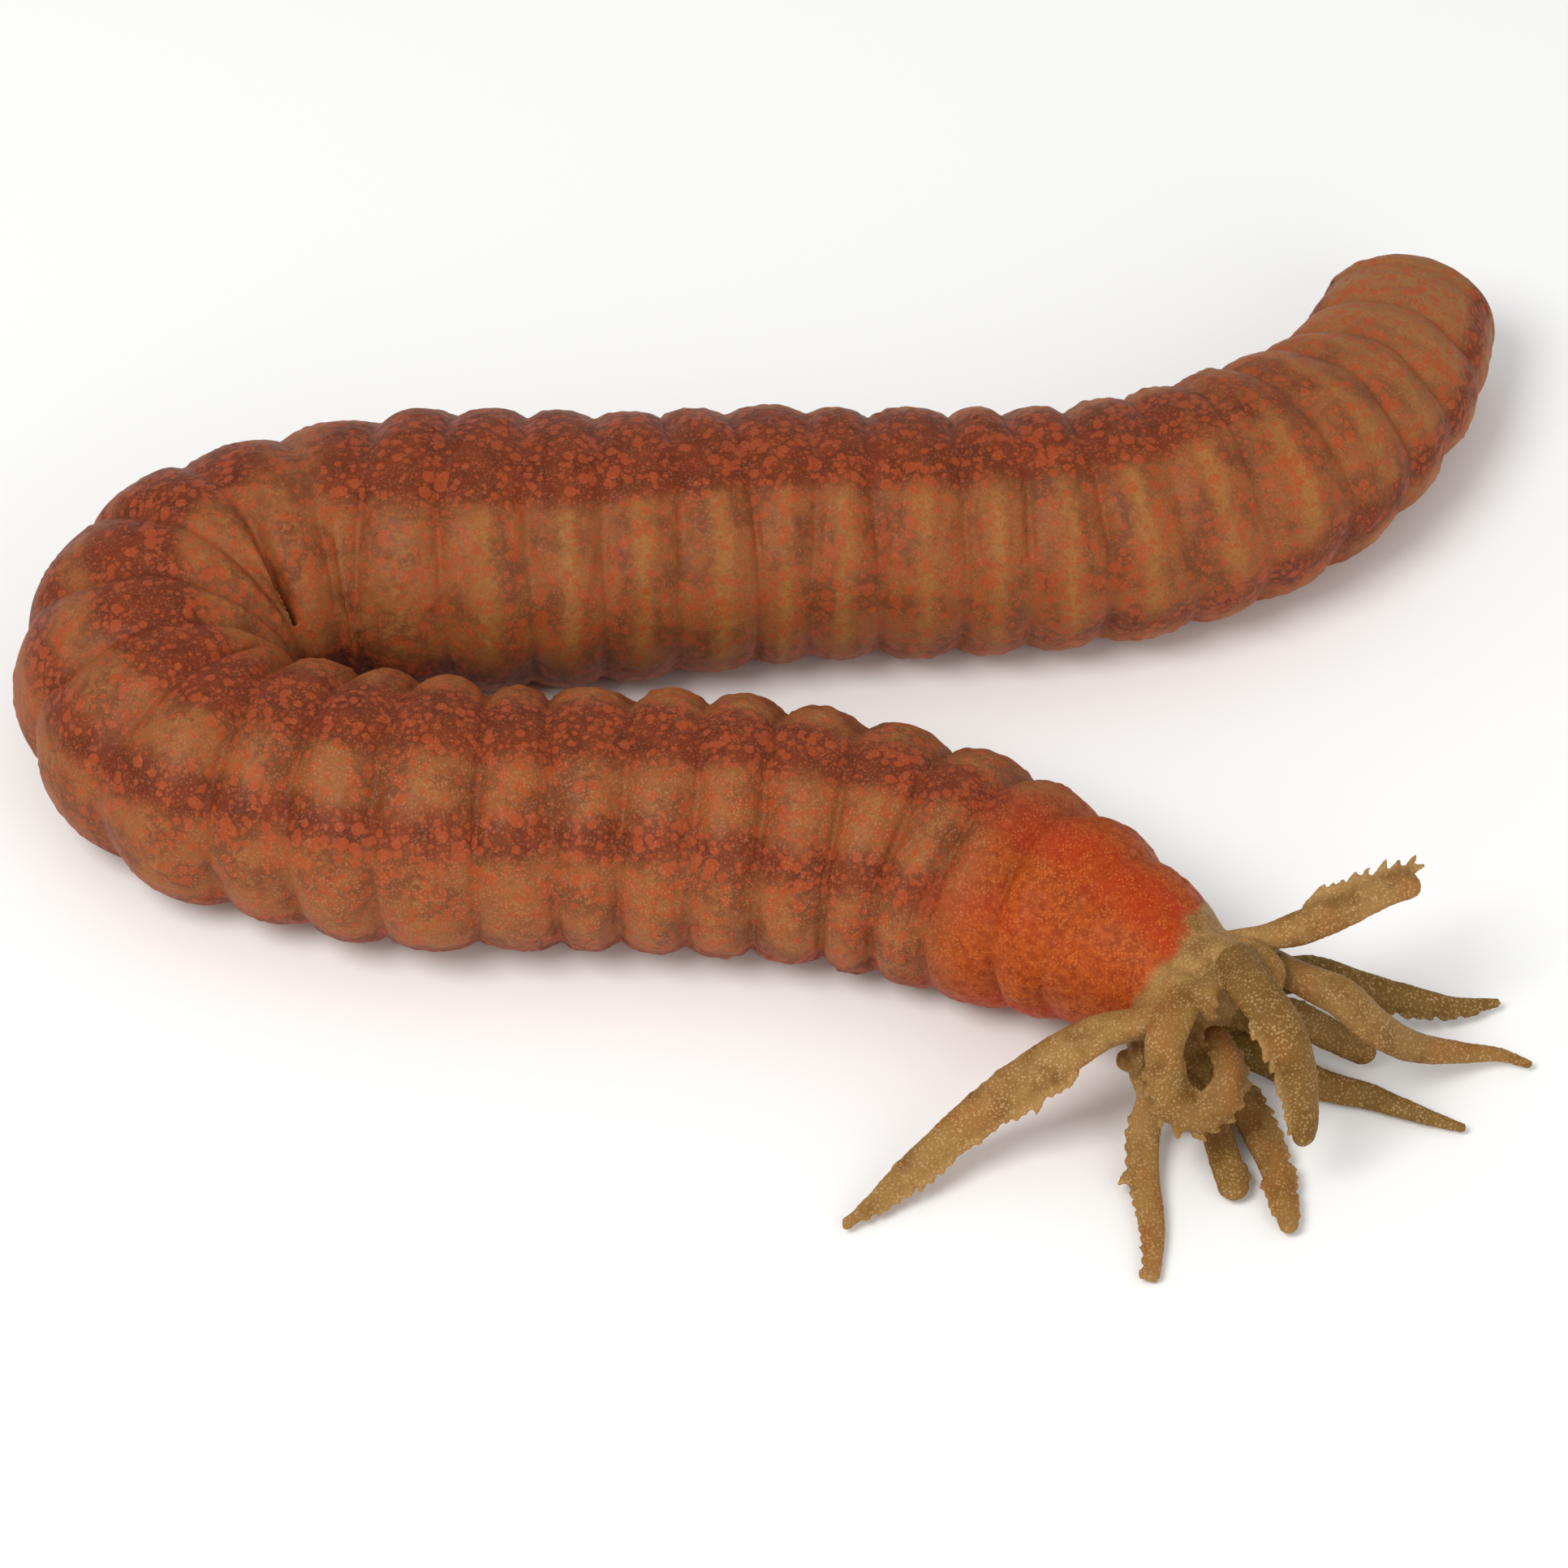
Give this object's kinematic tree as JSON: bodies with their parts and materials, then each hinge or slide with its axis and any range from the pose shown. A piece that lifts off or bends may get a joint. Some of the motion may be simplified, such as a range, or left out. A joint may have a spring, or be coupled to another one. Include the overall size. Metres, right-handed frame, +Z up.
{
  "type": "worm sea cucumber",
  "caption": "Life-size still model of a worm sea cucumber lying in a hairpin bend, with a bulged soft body and a crown of feathery feeding tentacles.",
  "frame": {"origin": "on the floor under the middle of the animal's box", "axes": "+X along the two limbs of the hairpin, towards the head and the tail; +Y from the near limb to the far limb; +Z up"},
  "size_m": [0.231, 0.2052, 0.0396],
  "materials": {
    "body_skin": "moist soft skin, red-brown bands and tan stripes with orange spots",
    "neck_skin": "moist soft skin, orange-red with fine pale speckles",
    "crown_skin": "moist soft skin, olive tan with fine pale speckles",
    "tentacle_skin": "moist soft skin, tan with fine pale speckles, greenish on the far tentacles"
  },
  "bodies": {
    "root": {"tail": "body_skin", "hind_body_rear": "body_skin", "hind_body_middle": "body_skin", "hind_body_front": "body_skin", "bend_rear": "body_skin", "bend_middle": "body_skin", "bend_front": "body_skin", "fore_body_rear": "body_skin", "fore_body_middle": "body_skin", "fore_body_front": "body_skin", "neck": "neck_skin", "crown": "crown_skin", "tentacle_01_stalk": "tentacle_skin", "tentacle_01_tip": "tentacle_skin", "tentacle_02": "tentacle_skin", "tentacle_03_stalk": "tentacle_skin", "tentacle_03_tip": "tentacle_skin", "tentacle_04_stalk": "tentacle_skin", "tentacle_04_tip": "tentacle_skin", "tentacle_05_stalk": "tentacle_skin", "tentacle_05_tip": "tentacle_skin", "tentacle_06_stalk": "tentacle_skin", "tentacle_06_tip": "tentacle_skin", "tentacle_07_stalk": "tentacle_skin", "tentacle_07_tip": "tentacle_skin", "tentacle_08_stalk": "tentacle_skin", "tentacle_08_tip": "tentacle_skin", "tentacle_09_stalk": "tentacle_skin", "tentacle_09_tip": "tentacle_skin", "tentacle_10": "tentacle_skin", "tentacle_11_stalk": "tentacle_skin", "tentacle_11_tip": "tentacle_skin", "tentacle_12": "tentacle_skin", "tentacle_13_stalk": "tentacle_skin", "tentacle_13_tip": "tentacle_skin", "tentacle_14_stalk": "tentacle_skin", "tentacle_14_tip": "tentacle_skin", "tentacle_15": "tentacle_skin"}
  },
  "joints": []
}
